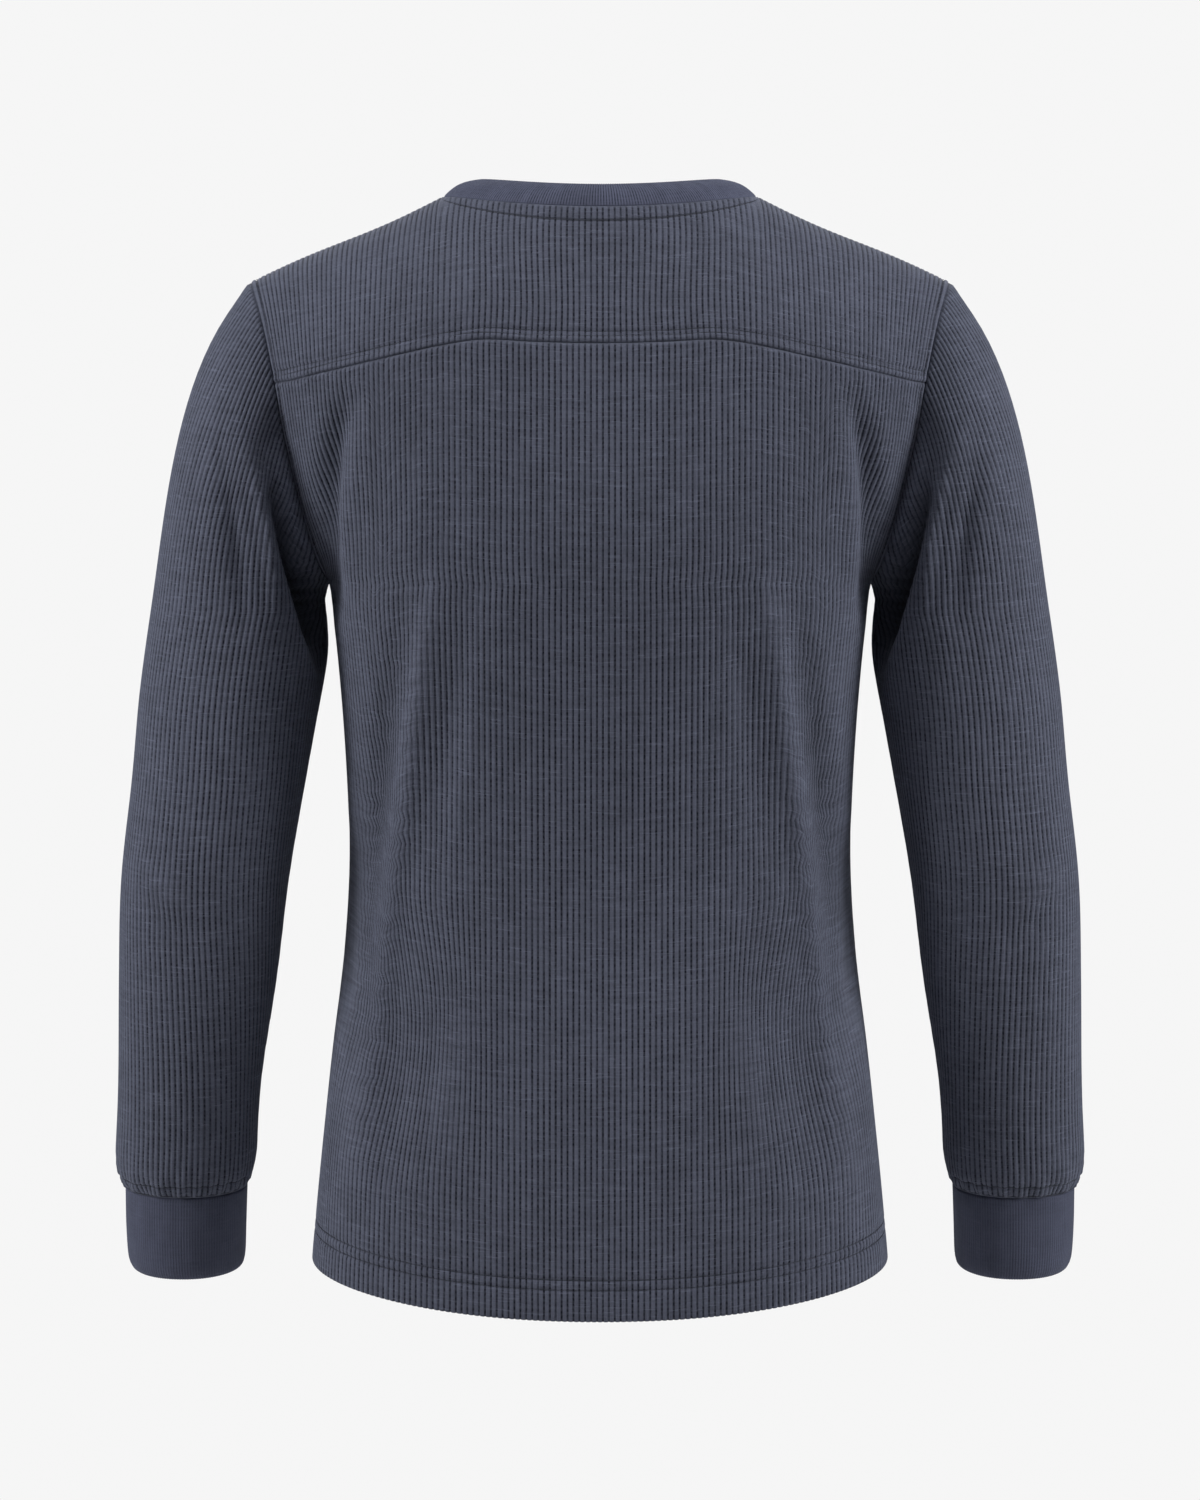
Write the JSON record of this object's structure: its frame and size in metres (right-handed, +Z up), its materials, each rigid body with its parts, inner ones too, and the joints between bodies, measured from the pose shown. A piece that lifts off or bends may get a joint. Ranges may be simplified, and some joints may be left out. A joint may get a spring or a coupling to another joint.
{
  "type": "thermal top",
  "caption": "Long-sleeved crew-neck thermal top in vertically ribbed cotton, with a back yoke, rib neckband and rib cuffs, in its worn hollow form.",
  "frame": {"origin": "midway between the two points where the shoulder line meets the neck seam, at the height of that line, where the wearer's shoulders hold the top up", "axes": "+Z up, +Y the way the wearer faces, +X towards the wearer's right arm"},
  "size_m": [0.6358, 0.2486, 0.7073],
  "materials": {
    "ribbed_cotton": "matt slub cotton in a vertical rib, slate blue-grey",
    "band_cotton": "matt fine rib cotton, slate blue-grey"
  },
  "bodies": {
    "root": {"front": "ribbed_cotton", "back": "ribbed_cotton", "back_yoke": "ribbed_cotton", "sleeve_left": "ribbed_cotton", "sleeve_right": "ribbed_cotton", "collar": "band_cotton", "cuff_left": "band_cotton", "cuff_right": "band_cotton"}
  },
  "joints": []
}
